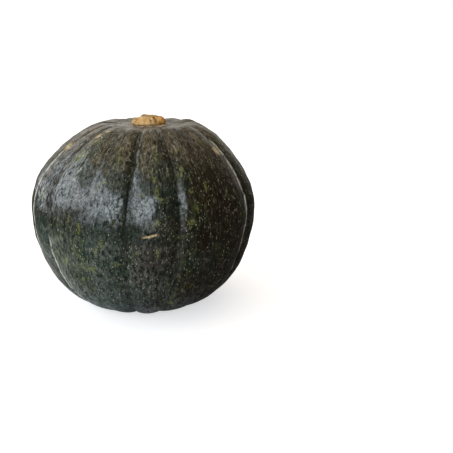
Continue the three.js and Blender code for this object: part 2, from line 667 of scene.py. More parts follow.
@dataclass(frozen=True)
class Spot:
    """What the rind's layers read at each place on it.

    Attributes:
        here: The place on the fruit.
        grown: The place on the rind if it were unrolled into an upright tube.
        along: The distance down the rind from the stem.
        marked: How far the nearest mark of each kind is, with 0 in its middle and 1 on its edge.
    """

    here: Channel
    grown: Channel
    along: Channel
    marked: Mapping[MarkKind, Channel]


@dataclass(frozen=True)
class RindFinish:
    """The waxy dark rind, with its mottling, streaks, flecks, bloom and scars, and painted shade in
    pits and grooves.

    A cast of flecks is its cells to a metre, how much their sizes differ and how strongly it shows.
    """

    # Painted shade, laid in the pits between the pebbles and in the bottoms of the grooves.
    painted_pit_shade: Colour = paint(0.005, 0.007, 0.004)
    deep: Colour = paint(0.004, 0.008, 0.005)
    green: Colour = paint(0.009, 0.018, 0.011)
    brown: Colour = paint(0.013, 0.006, 0.002)
    leafy: Colour = paint(0.013, 0.032, 0.021)
    crown: Colour = paint(0.07, 0.045, 0.02)
    tick: Colour = paint(0.075, 0.074, 0.048)
    streak: Colour = paint(0.17, 0.148, 0.105)
    fleck: Colour = paint(0.34, 0.325, 0.215)
    green_fleck: Colour = paint(0.19, 0.22, 0.08)
    olive: Colour = paint(0.052, 0.06, 0.016)
    lime: Colour = paint(0.125, 0.138, 0.036)
    # A bluish bloom, laid on the lit -X side only, where it is partly a painted sheen.
    bloom: Colour = paint(0.07, 0.086, 0.076)
    groove_line: Colour = paint(0.43, 0.41, 0.34)
    scratch: Colour = paint(0.48, 0.49, 0.38)
    scab: Colour = paint(0.62, 0.5, 0.29)
    scab_dark: Colour = paint(0.17, 0.115, 0.06)
    callus: Colour = paint(0.62, 0.5, 0.37)
    blossom: Colour = paint(0.33, 0.23, 0.13)
    coat_rough: float = 0.26
    fleck_casts: tuple[tuple[float, float, float], ...] = (
        (280.0, 0.095, 0.9),
        (440.0, 0.18, 0.65),
        (640.0, 0.27, 0.65),
    )
    callus_edge: Span = (0.0052, 0.0022)
    blossom_edge: Span = (0.005, 0.0085)

    def material(self, fruit: "Fruit") -> bpy.types.Material:
        """Makes the rind's material.

        Args:
            fruit: The fruit that wears it, which knows where its marks are.

        Returns:
            The material.
        """
        graph = ShaderGraph(bpy.data.materials.new("rind_waxy_dark_green"))
        here = graph.node("ShaderNodeTexCoord", output="Object")
        grown = graph.attribute("grown", "Vector")
        along = graph.part(grown, "Z")
        marked = {kind: self._reach(graph, here, fruit, kind) for kind in MarkKind}
        spot = Spot(here, grown, along, marked)
        layers = self._ground(graph, spot)
        self._streaks(layers, spot)
        self._flecks(layers, spot)
        self._grooves(layers, spot)
        self._marks(layers, spot)
        self._ends(layers, spot, fruit)
        return layers.surface(self.coat_rough)

    def _reach(self, graph: ShaderGraph, here: Channel, fruit: "Fruit", kind: MarkKind) -> Channel:
        """Finds how far each place is from the nearest mark of a kind.

        Args:
            graph: The material's graph.
            here: The place on the fruit.
            fruit: The fruit, which knows where its marks are.
            kind: The kind of mark.

        Returns:
            A number that is 0 in the middle of a mark and 1 on its edge.
        """
        _, waves, stray = kind.value
        place = graph.ragged(here, waves, stray)
        found = None
        for mark in (each for each in fruit.marks if each.kind is kind):
            centre, turned = fruit.frame_of(mark)
            inputs = {"Vector": place, "Location": centre, "Rotation": turned, "Scale": mark.size}
            oval = graph.node("ShaderNodeMapping", {"vector_type": "TEXTURE"}, inputs)
            reach = graph.vector("LENGTH", oval, output="Value")
            found = reach if found is None else graph.math("MINIMUM", found, reach)
        return found

    def _ground(self, graph: ShaderGraph, spot: Spot) -> Layers:
        """Mottles the rind's ground colour with painted shade on its +X side and in the pits
        between its pebbles, and gives it its pebbled relief and worn wax.

        Args:
            graph: The material's graph.
            spot: What is read at each place.

        Returns:
            The layers so far.
        """
        here, grown, marked = spot.here, spot.grown, spot.marked
        skin = graph.drawn(graph.ragged(grown, 260.0, 0.0014), 0.5)
        pebble = graph.noise(skin, 430.0, 3.0, 0.6)
        mottle = graph.rise(graph.noise(skin, 150.0, 4.0, 0.65), 0.35, 0.68)
        colour = graph.mix(mottle, self.deep, self.green)
        # Painted shade on the +X side: more brown in its mottling and less wax there.
        shaded_side = graph.rise(graph.part(here, "X"), -0.01, 0.07)
        browned = graph.rise(graph.noise(here, 24.0, 3.0) + shaded_side * 0.16, 0.45, 0.7) * 0.9
        colour = graph.mix(browned, colour, self.brown)
        leafy = graph.rise(graph.part(grown, "X"), 0.0, -0.045)
        leafy = leafy * graph.rise(spot.along, 0.105, 0.135)
        colour = graph.mix(leafy * 0.65, colour, self.leafy)
        across = graph.noise(graph.drawn(grown, 2.6), 150.0, 3.0, 0.6)
        rippled = graph.rise(marked[RIPPLE], 1.2, 0.4)
        relief = pebble * 3.4 + graph.noise(here, 150.0) * 1.2 + (across - 0.5) * rippled * 5.0
        rough = graph.noise(here, 60.0, 4.0) * 0.22 + 0.26
        rubbed = graph.rise(marked[GLOSS], 1.2, 0.4) * 0.08
        patchy = graph.rise(graph.noise(here, 40.0, 3.0) + rubbed * 5.0, 0.2, 0.6)
        grain = graph.noise(graph.drawn(grown, 0.7), 900.0, 2.0, 0.6)
        coat = graph.rise(pebble + rubbed, 0.34, 0.62) * (graph.rise(grain, 0.38, 0.62) * 0.6 + 0.4)
        coat = coat * patchy * (1.0 - shaded_side * 0.4)
        layers = Layers(graph, colour, rough, relief + grain * 0.6, coat)
        age = graph.rise(spot.along, 0.095, 0.015)
        age = age * graph.rise(graph.noise(skin, 70.0, 4.0, 0.6), 0.25, 0.65)
        layers.lay(age, self.crown)
        # Painted shade in the low pits of the pebbled relief.
        layers.lay(graph.rise(pebble, 0.46, 0.34) * 0.75, self.painted_pit_shade)
        layers.lay(graph.rise(pebble, 0.55, 0.68) * 0.6, self.tick)
        return layers

    def _streaks(self, layers: Layers, spot: Spot) -> None:
        """Lays the pale streaks that run down the rind from the stem, the green ones, and a bloom
        that is partly a painted sheen.

        Args:
            layers: The layers so far.
            spot: What is read at each place.
        """
        graph, grown, along = layers.graph, spot.grown, spot.along
        fine = graph.noise(graph.drawn(graph.ragged(grown, 160.0, 0.002), 0.24), 520.0, 2.0, 0.6)
        near_crown = graph.rise(along, 0.13, 0.02)
        layers.lay(graph.rise(fine, 0.55, 0.68) * (near_crown * 0.7 + 0.12), self.streak)
        patch = graph.noise(graph.drawn(grown, 0.45), 75.0, 4.0, 0.7)
        layers.lay(graph.rise(patch, 0.58, 0.72) * 0.7, self.olive)
        dash = graph.noise(graph.drawn(grown, 0.4), 330.0, 3.0, 0.7)
        spread = graph.rise(graph.noise(grown, 50.0), 0.4, 0.6) * 0.6 + 0.1
        layers.lay(graph.rise(dash, 0.6, 0.68) * spread, self.lime)
        haze = graph.noise(graph.drawn(grown, 0.7), 32.0, 4.0, 0.6)
        # The bloom lies on the lit -X side only: partly the rind's waxy bloom, partly a painted
        # sheen.
        lit_side = graph.rise(graph.part(grown, "X"), 0.06, -0.02)
        hazy = graph.rise(haze, 0.5, 0.75) * graph.rise(along, 0.03, 0.09) * lit_side
        layers.lay(hazy * 0.35, self.bloom)

    def _flecks(self, layers: Layers, spot: Spot) -> None:
        """Lays the small pale flecks, most of them a little longer than wide, in three sizes.

        Args:
            layers: The layers so far.
            spot: What is read at each place.
        """
        graph, grown, marked = layers.graph, spot.grown, spot.marked
        dense = graph.rise(marked[SPECKLE], 1.3, 0.4)
        dash = graph.noise(graph.drawn(grown, 0.4), 360.0, 3.0, 0.7)
        side = graph.part(grown, "X")
        dashes = graph.rise(dash, 0.53, 0.63) * dense * graph.rise(side, 0.06, -0.01)
        layers.lay(dashes * 0.55, self.lime)
        bare = graph.rise(marked[GLOSS], 0.5, 1.3) * 0.65 + 0.35
        crowd = dense * 0.8 + graph.rise(graph.noise(grown, 26.0), 0.45, 0.68) * 0.4
        skin = graph.drawn(graph.ragged(grown, 500.0, 0.0008), 0.5)
        for waves, size, share in self.fleck_casts:
            cells = {"Vector": skin, "Scale": waves}
            gap = graph.node("ShaderNodeTexVoronoi", {}, cells, "Distance")
            tint = graph.node("ShaderNodeTexVoronoi", {}, cells, "Color")
            chance = graph.node("ShaderNodeSeparateColor", {}, {0: tint}, "Red")
            spots = graph.rise(gap - chance * size, 0.06, -0.04)
            spots = spots * graph.rise(chance + crowd, 0.55, 1.05) * bare
            pale = graph.rise(chance + graph.part(grown, "X") * 3.0, 0.3, 0.9)
            tone = graph.mix(pale, self.green_fleck, self.fleck)
            layers.lay(spots * share, tone)

    def _grooves(self, layers: Layers, spot: Spot) -> None:
        """Paints shade into the grooves, and lays the thin pale lines that run down some of them.

        Args:
            layers: The layers so far.
            spot: What is read at each place.
        """
        graph = layers.graph
        # Painted shade: a dark colour in the bottoms of the grooves, with less wax there.
        layers.lay(graph.attribute("painted_groove_shade") * 0.75, self.painted_pit_shade, bare=0.8)
        offset = graph.attribute("line_offset")
        wander = (graph.noise(spot.here, 90.0, 3.0) - 0.5) * 3.0
        gap = graph.math("ABSOLUTE", offset + wander)
        inside = graph.rise(graph.attribute("from_crest"), 0.55, 0.7)
        broken = graph.rise(graph.noise(spot.here, 130.0, 3.0), 0.28, 0.5)
        line = graph.rise(gap, 1.3, 0.6) * inside * broken * graph.attribute("line")
        layers.lay(line, self.groove_line, bare=0.6)

    def _marks(self, layers: Layers, spot: Spot) -> None:
        """Lays the green blotches, the scratches and the scabs.

        Args:
            layers: The layers so far.
            spot: What is read at each place.
        """
        graph, marked = layers.graph, spot.marked
        grain = graph.noise(spot.here, 700.0, 3.0, 0.7)
        layers.lay(graph.rise(marked[LIME] + (grain - 0.5) * 6.0, 1.15, 0.35) * 0.8, self.lime)
        scratched = graph.rise(marked[SCRATCH] + (grain - 0.5) * 2.0, 1.1, 0.5)
        layers.lay(scratched * 0.45, self.scratch, bare=1.0)
        layers.lay(graph.rise(marked[SCAB], 1.35, 1.0) * 0.7, self.scab_dark, bare=1.0)
        corky = graph.mix(graph.rise(grain, 0.36, 0.6), self.scab_dark, self.scab)
        scabbed = graph.rise(marked[SCAB] + (grain - 0.5) * 1.2, 1.05, 0.75)
        layers.lay(scabbed, corky, height=0.35, bare=1.0)

    def _ends(self, layers: Layers, spot: Spot, fruit: "Fruit") -> None:
        """Lays the callus round the stem and the scar of the blossom.

        Args:
            layers: The layers so far.
            spot: What is read at each place.
            fruit: The fruit, which knows how far down its blossom's scar is.
        """
        graph, grown, along = layers.graph, spot.grown, spot.along
        wander = (graph.noise(spot.here, 260.0, 3.0) - 0.5) * 0.004
        rays = graph.noise(graph.drawn(spot.here, 0.3), 520.0, 3.0, 0.7)
        fray = (graph.noise(graph.drawn(grown, 0.12), 110.0, 4.0, 0.7) - 0.5) * 0.012
        worn = graph.mix(graph.rise(rays, 0.38, 0.6), self.crown, self.callus)
        layers.lay(graph.rise(along + fray, *self.callus_edge) * 0.9, worn, height=0.3, bare=1.0)
        cracked = graph.noise(graph.drawn(grown, 0.2), 120.0, 3.0, 0.6)
        edge = (fruit.scar_edge + past for past in self.blossom_edge)
        blossom = graph.rise(along + wander, *edge)
        layers.lay(blossom * graph.rise(cracked, 0.25, 0.5), self.blossom, height=0.3, bare=1.0)


@dataclass
class Fruit:
    """The fruit: a flattened ball with unequal ribs, a dimpled blossom end and the stem's seat.

    A run is how far a curve's handle reaches from its end. A span of two numbers is where something
    is nothing, and where it is whole. The relief is held still at the foot and on the seat.
    """

    widest_radius: float = 0.095
    widest_height: float = 0.086
    crest_radius: float = 0.037
    crest_height: float = 0.1556
    seat_radius: float = 0.0155
    seat_height: float = 0.1544
    foot_radius: float = 0.024
    blossom_radius: float = 0.013
    blossom_depth: float = 0.0024
    nub_radius: float = 0.0045
    nub_height: float = 0.0013
    crown_run: float = 0.009
    crest_run: float = 0.0145
    above_widest_run: float = 0.037
    below_widest_run: float = 0.018
    foot_run: float = 0.0605
    depth_to_width: float = 0.98
    crown_lean: float = 0.0045
    lean_power: float = 3.0
    crown_groove_radius: float = 0.06
    foot_groove_radius: float = 0.074
    round_share: float = 0.45
    sharp_power: float = 5.0
    brow_away: float = 0.006
    brow_radii: Span = (0.05, 0.08)
    twist: float = 2.4
    twist_width: float = 55.0
    twist_foot: Span = (0.055, 0.105)
    twist_crown: Span = (0.156, 0.13)
    lip_height: float = 0.0006
    lip_azimuth: float = 62.0
    lip_half_turn: float = 60.0
    lip_swell: float = 0.0009
    lip_radius: float = 0.0168
    lip_width: float = 0.0022
    lumps: tuple[Span, ...] = ((0.03, 0.0022), (0.01, 0.0009))
    still_foot: Span = (0.003, 0.02)
    still_seat_radii: Span = (0.018, 0.03)
    still_seat_heights: Span = (0.15, 0.14)
    # Where the painted shade in the grooves' bottoms lies: across each groove, by radius and down
    # the rind.
    painted_shade_share: Span = (0.8, 1.0)
    painted_shade_radii: Span = (0.03, 0.07)
    painted_shade_crown: Span = (0.135, 0.1)
    painted_shade_least: float = 0.45
    line_fade: float = 0.008
    line_start: Span = (0.0, 0.02)
    columns_per_rib: int = 24
    flank_rows: int = 96
    shoulder_rows: int = 78
    crown_rows: int = 24
    grooves: tuple[Groove, ...] = (
        Groove(-71.5, 2.2, -0.2, line=1.0, line_from=0.056, line_aside=-2.2, line_wide=0.9),
        Groove(-53.0, 1.6, 0.3, line=1.0, line_from=0.128, shade=0.1),
        Groove(-29.0, 0.8, 0.4, shade=0.15),
        Groove(-9.7, 4.2, 1.1, shade=1.0),
        Groove(14.8, 2.6, 0.1, shade=0.6, brow=0.75),
        Groove(41.0, 1.6, 0.4),
        Groove(63.8, 3.4, 0.6, line=1.6, line_from=0.042, line_aside=1.1, line_wide=0.7, shade=0.8),
        Groove(85.0, 2.0, 0.0, line=0.35, line_wide=0.8),
        Groove(108.0, 3.0, 1.3, line=0.25),
        Groove(133.0, 1.5, 1.2, line=0.6, line_from=0.03, line_to=0.15, line_wide=0.8),
        Groove(161.0, 3.2, 1.6),
        Groove(182.0, 2.2, -0.4, line=0.7, line_from=0.07, line_wide=0.8),
        Groove(202.0, 1.3, -2.2),
        Groove(221.0, 3.2, -0.7, line=0.4, line_to=0.13),
        Groove(244.0, 1.8, -0.3, line=0.8, line_from=0.09, line_wide=0.8),
        Groove(266.0, 2.8, -0.8, line=0.3),
    )
    marks: tuple[Mark, ...] = (
        *marks_of(
            SCAB,
            (2.6, 120.3, 12, 2.4, 9),
            (-49, 37.8, 7.5, 6.5, 70),
            (-43.5, 31.8, 8, 2.2, 50),
            (-73, 54.5, 10, 8.5, 60),
            (57, 56.5, 10, 9.5, 20),
            (61.8, 56, 8, 5, 40),
            (88.2, 60.6, 6, 3, 80),
        ),
        *marks_of(
            SCRATCH,
            (-44, 38.5, 8, 1.6, -30),
            (-45, 29.5, 10, 1.4, 60),
            (-50.5, 48, 17, 1, 88),
            (-39, 73.5, 9, 2.6, 80),
            (-39.5, 81, 8, 2.2, 55),
        ),
        *marks_of(
            LIME,
            (-45, 60.5, 12, 8.5, 60),
            (-43, 45, 8, 5, 60),
            (-16.9, 60.8, 5, 3.5, 80),
            (-21.2, 80.4, 5, 4, 0),
            (-59.5, 98, 11, 3.5, 80),
            (-37.2, 113, 10, 2.8, 85),
            (-31.1, 116.3, 9, 2.6, 88),
            (-52.3, 130.8, 6, 3, 85),
            (-47.8, 141.9, 4, 3, 30),
            (-40.8, 146.7, 8, 2.2, 60),
            (-20.5, 128.5, 9, 3, 60),
            (-22.9, 134.6, 7, 2.6, 88),
            (-25.6, 150.4, 7, 5, 30),
            (-12.5, 145.5, 5, 3, 0),
            (5, 48, 6, 2.2, 80),
            (6.3, 58, 11, 2.4, 88),
            (5.1, 77.2, 6, 3.4, 85),
            (6, 88, 9, 3, 85),
            (7.8, 93.5, 5, 4, 20),
            (21, 51, 8, 2, 82),
            (21, 71, 10, 2.2, 82),
            (24, 88, 6, 4, 30),
            (32.8, 85, 6, 3.5, 80),
            (5.5, 110.5, 9, 4, 60),
            (22.6, 112, 5, 3.5, 20),
            (6, 133, 8, 2.8, 85),
            (16.4, 190, 8, 5, 10),
        ),
        *marks_of(
            SPECKLE,
            (-33, 150, 74, 18, 88),
            (-45, 145, 90, 15, 88),
            (24, 155, 100, 56, 88),
            (46, 135, 90, 30, 88),
            (118, 130, 60, 16, 86),
            (190, 110, 70, 15, 92),
            (250, 160, 60, 14, 88),
        ),
        *marks_of(
            RIPPLE,
            (-15.5, 100, 50, 20, 88),
            (-2.5, 102, 56, 26, 88),
            (142, 90, 50, 26, 88),
        ),
        *marks_of(
            GLOSS,
            (-2, 95, 70, 26, 88),
            (-30, 93, 60, 60, 0),
            (21, 87.5, 36, 14, 88),
        ),
    )
    finish: RindFinish = RindFinish()

    def outline(self) -> np.ndarray:
        """The fruit's outline, from the blossom's middle up to the seat's middle.

        Returns:
            A radius and a height to each row.
        """
        dimple = np.linspace(0.0, self.blossom_radius, 13)[:-1]
        depth = self.blossom_depth * hump(dimple, self.blossom_radius)
        depth -= self.nub_height * hump(dimple, self.nub_radius)
        foot = np.linspace(self.blossom_radius, self.foot_radius, 7)[:-1]
        seat = np.linspace(self.seat_radius, 0.0, 6)[1:]
        start = np.array([self.foot_radius, 0.0])
        widest = np.array([self.widest_radius, self.widest_height])
        crest = np.array([self.crest_radius, self.crest_height])
        edge = np.array([self.seat_radius, self.seat_height])
        out, up = np.eye(2)
        below, above = widest - up * self.below_widest_run, widest + up * self.above_widest_run
        flank = bezier((start, start + out * self.foot_run, below, widest), self.flank_rows)
        handle = crest + out * self.crest_run
        shoulder = bezier((widest, above, handle, crest), self.shoulder_rows)
        handles = crest - out * self.crown_run, edge + out * self.crown_run
        crown = bezier((crest, *handles, edge), self.crown_rows)
        return np.vstack(
            [
                np.stack([dimple, depth], axis=1),
                np.stack([foot, np.zeros_like(foot)], axis=1),
                flank[:-1],
                shoulder[:-1],
                crown,
                np.stack([seat, np.full_like(seat, self.seat_height)], axis=1),
            ]
        )

    @property
    def length(self) -> float:
        """The distance along the rind from the seat's edge to the blossom's middle."""
        rows = self.outline()
        return float(np.hypot(*np.diff(rows, axis=0).T).sum()) - self.seat_radius

    @property
    def scar_edge(self) -> float:
        """The distance along the rind from the seat's edge to the blossom's dimple."""
        return self.length - self.blossom_radius

    def _along(self, rows: np.ndarray) -> np.ndarray:
        """How far each row of the outline is from the seat's edge, along the rind.

        Args:
            rows: The outline.

        Returns:
            The distances, which are 0 on the seat.
        """
        up = np.append(0.0, np.cumsum(np.hypot(*np.diff(rows, axis=0).T)))
        return np.clip(up[-1] - self.seat_radius - up, 0.0, None)

    def frame_of(self, mark: Mark) -> tuple[Place, Place]:
        """Where a mark is, and how its oval is turned.

        Args:
            mark: The mark.

        Returns:
            The middle of the mark, and its turn as Euler angles in radians.
        """
        rows = self.outline()[::-1]
        along = self._along(self.outline())[::-1]
        places = []
        turn = math.radians(mark.azimuth)
        for distance in (mark.along, mark.along - MM):
            radius, height = (float(np.interp(distance, along, axis)) for axis in rows.T)
            x = radius * math.sin(turn) + float(self._lean(height))
            y = -radius * math.cos(turn) * self.depth_to_width
            places.append(Vector((x, y, height)))
        up = (places[1] - places[0]).normalized()
        right = Vector((math.cos(turn), math.sin(turn) * self.depth_to_width, 0.0)).normalized()
        out = right.cross(up).normalized()
        turned = Matrix.Rotation(math.radians(mark.turn), 3, "Z")
        axes = Matrix((right, up, out)).transposed() @ turned
        return tuple(places[0]), tuple(axes.to_euler())

    def _lean(self, height: np.ndarray | float) -> np.ndarray:
        """How far the fruit leans to +X at each height above its widest."""
        rise = np.clip(height - self.widest_height, 0.0, None)
        return self.crown_lean * (rise / (self.seat_height - self.widest_height)) ** self.lean_power

    def _of_grooves(self, name: str, ribs: np.ndarray) -> np.ndarray:
        """Reads one of the grooves' sizes for each vertex, by the index of its groove."""
        return np.array([getattr(groove, name) for groove in self.grooves])[ribs]

    def build(self) -> bpy.types.Object:
        """Makes the fruit.

        Returns:
            The finished piece.
        """
        rows = self.outline()
        starts = [groove.azimuth for groove in self.grooves]
        ends = starts[1:] + [starts[0] + 360.0]
        turns = [(end - start, self.columns_per_rib) for start, end in zip(starts, ends)]
        sculpt = Sculpt.turned("fruit_skin", rows, (0.0, 0.0, 0.0), starts[0], turns)
        x, y, z = sculpt.points.T
        radius = np.hypot(x, y)
        azimuth = np.degrees(np.arctan2(x, -y))
        self._carry(sculpt, rows, radius, azimuth, z)
        sculpt.push(self._relief(radius, azimuth, z))
        turn = np.radians(azimuth)
        swung = np.radians(self.twist) * radius * hump(turn_between(azimuth, 0.0), self.twist_width)
        swung *= ease(z, *self.twist_foot) * ease(z, *self.twist_crown)
        sculpt.push(swung * np.cos(turn), Side.ALONG_X)
        sculpt.push(swung * np.sin(turn), Side.ALONG_Y)
        sculpt.push(self._lean(z), Side.ALONG_X)
        sculpt.scale((1.0, self.depth_to_width, 1.0))
        free = ease(radius, *self.still_seat_radii)
        free = np.maximum(free, ease(z, *self.still_seat_heights)) * ease(z, *self.still_foot)
        sculpt.roughen(self.lumps, free)
        return sculpt.finish(self.finish.material(self), "fruit", "rind")

    def _ribs(self, azimuth: np.ndarray) -> tuple[np.ndarray, ...]:
        """Finds the rib that each azimuth is on.

        Args:
            azimuth: The azimuths.

        Returns:
            The index of the groove that starts the rib, the index of the nearest groove, how far
            the place is from the crest as a share, and the signed angle from the nearest groove.
        """
        starts = np.array([groove.azimuth for groove in self.grooves])
        turned = (azimuth - starts[0]) % 360.0 + starts[0]
        turned = np.where(turned > starts[0] + 360.0 - LEAST_TURN, starts[0], turned)
        rib = np.searchsorted(starts, turned + LEAST_TURN, side="right") - 1
        ends = np.append(starts[1:], starts[0] + 360.0)
        across = np.clip((turned - starts[rib]) / (ends[rib] - starts[rib]), 0.0, 1.0)
        nearest = np.where(across > 0.5, (rib + 1) % len(starts), rib)
        offset = np.where(across > 0.5, turned - ends[rib], turned - starts[rib])
        return rib, nearest, np.abs(2.0 * across - 1.0), offset

    def _relief(self, radius: np.ndarray, azimuth: np.ndarray, height: np.ndarray) -> np.ndarray:
        """How far the ribs and the lip round the seat stand proud of the round shape.

        Args:
            radius: Each vertex's distance from the axis.
            azimuth: Its azimuth.
            height: Its height.

        Returns:
            The distances, which are below 0 in the grooves.
        """
        rib, nearest, from_crest, offset = self._ribs(azimuth)
        depth = self._of_grooves("depth", nearest) * MM
        crest = self._of_grooves("crest", rib) * MM
        upper = ease(radius, self.seat_radius, self.crown_groove_radius)
        lower = ease(radius, self.foot_radius, self.foot_groove_radius)
        fade = np.where(height > self.widest_height, upper, lower)
        sharp = from_crest**self.sharp_power
        cut = self.round_share * from_crest**2 + (1.0 - self.round_share) * sharp
        lip = hump(radius - self.lip_radius, self.lip_width)
        lip = np.where(height > self.widest_height, lip, 0.0)
        swell = hump(turn_between(azimuth, self.lip_azimuth), self.lip_half_turn)
        lip *= self.lip_height + self.lip_swell * swell
        aside = np.radians(offset) * radius
        brow = self._of_grooves("brow", nearest) * MM
        brow *= hump(aside - self.brow_away, self.brow_away) * ease(radius, *self.brow_radii)
        return fade * (crest * hump(from_crest, 1.0) - depth * cut) + lip + brow

    def _carry(
        self,
        sculpt: Sculpt,
        rows: np.ndarray,
        radius: np.ndarray,
        azimuth: np.ndarray,
        height: np.ndarray,
    ) -> None:
        """Stores what the rind's material reads at each vertex.

        Args:
            sculpt: The round shape.
            rows: The outline.
            radius: Each vertex's distance from the axis.
            azimuth: Its azimuth.
            height: Its height.
        """
        spots = radius + 1j * height
        line = rows[:, 0] + 1j * rows[:, 1]
        nearest_rows = [
            np.abs(batch[:, None] - line).argmin(axis=1)
            for batch in np.array_split(spots, SEARCH_BATCHES)
        ]
        along = self._along(rows)[np.concatenate(nearest_rows)]
        turn = np.radians(azimuth)
        grown = np.stack([np.sin(turn), -np.cos(turn), along / self.widest_radius], axis=1)
        sculpt.carry("grown", grown * self.widest_radius)
        _, nearest, from_crest, offset = self._ribs(azimuth)
        sculpt.carry("from_crest", from_crest)
        names = ("line", "line_from", "line_to", "line_aside", "line_wide", "shade")
        strength, low, high, aside, wide, shade = (
            self._of_grooves(name, nearest) for name in names
        )
        sculpt.carry("line_offset", (np.radians(offset) * radius / MM - aside) / wide)
        # Painted shade for each groove's bottom, weaker near the axis and far down the rind.
        near_crown = self.painted_shade_least + (1.0 - self.painted_shade_least) * ease(along, *self.painted_shade_crown)
        shade *= ease(radius, *self.painted_shade_radii) * near_crown
        sculpt.carry("painted_groove_shade", ease(from_crest, *self.painted_shade_share) * shade)
        begun = np.clip((along - low) / self.line_fade, 0.0, 1.0)
        shown = begun * np.clip((high - along) / self.line_fade, 0.0, 1.0)
        sculpt.carry("line", strength * shown * ease(along, *self.line_start))


@dataclass(frozen=True)
class CorkFinish:
    """The dry cork of the stem, with fibres and cracks, and painted shade in its notch and under
    its lobe.
    """

    tan: Colour = paint(0.37, 0.206, 0.07)
    light: Colour = paint(0.54, 0.354, 0.168)
    orange: Colour = paint(0.5, 0.205, 0.04)
    # Painted shade, laid under and beside the lobe.
    olive: Colour = paint(0.17, 0.095, 0.014)
    rim: Colour = paint(0.27, 0.185, 0.095)
    dark: Colour = paint(0.13, 0.075, 0.025)
    rough: float = 0.85
    rough_dark: float = 0.9
    coat_rough: float = 0.3
    crack_height: float = -0.3
    orange_edge: Span = (0.0095, 0.0045)

    def material(self, stem: "Stem") -> bpy.types.Material:
        """Makes the cork's material.

        Args:
            stem: The stem that wears it.

        Returns:
            The material.
        """
        graph = ShaderGraph(bpy.data.materials.new("stem_dry_cork"))
        here = graph.node("ShaderNodeTexCoord", output="Object")
        coarse = graph.noise(here, 260.0, 4.0, 0.6)
        colour = graph.mix(graph.rise(coarse, 0.35, 0.7), self.tan, self.light)
        fibres = graph.noise(graph.drawn(here, 0.35), 900.0, 3.0, 0.6)
        layers = Layers(graph, colour, self.rough, fibres * 0.5 + coarse * 0.6, 0.0)
        lobe = graph.vector("DISTANCE", here, stem.lobe_place, output="Value")
        layers.lay(graph.rise(lobe, *self.orange_edge) * 0.75, self.orange)
        # Painted shade under and beside the lobe.
        layers.lay(graph.attribute("shade") * graph.rise(coarse, 0.15, 0.45) * 0.95, self.olive)
        top = graph.part(here, "Z") + (coarse - 0.5) * 0.002
        layers.lay(graph.rise(top, *stem.rim_heights) * 0.8, self.rim)
        # Painted shade in the notch at the top of the cleft.
        layers.lay(graph.rise(graph.attribute("painted_pit_shade"), 0.2, 0.9) * 0.8, self.dark, self.rough_dark)
        cracks = graph.noise(graph.ragged(here, 500.0, 0.0012), 330.0)
        ridge = graph.math("ABSOLUTE", cracks - 0.5)
        cracked = graph.rise(ridge, 0.02, 0.004) * 0.45
        layers.lay(cracked, self.dark, self.rough_dark, self.crack_height)
        return layers.surface(self.coat_rough)


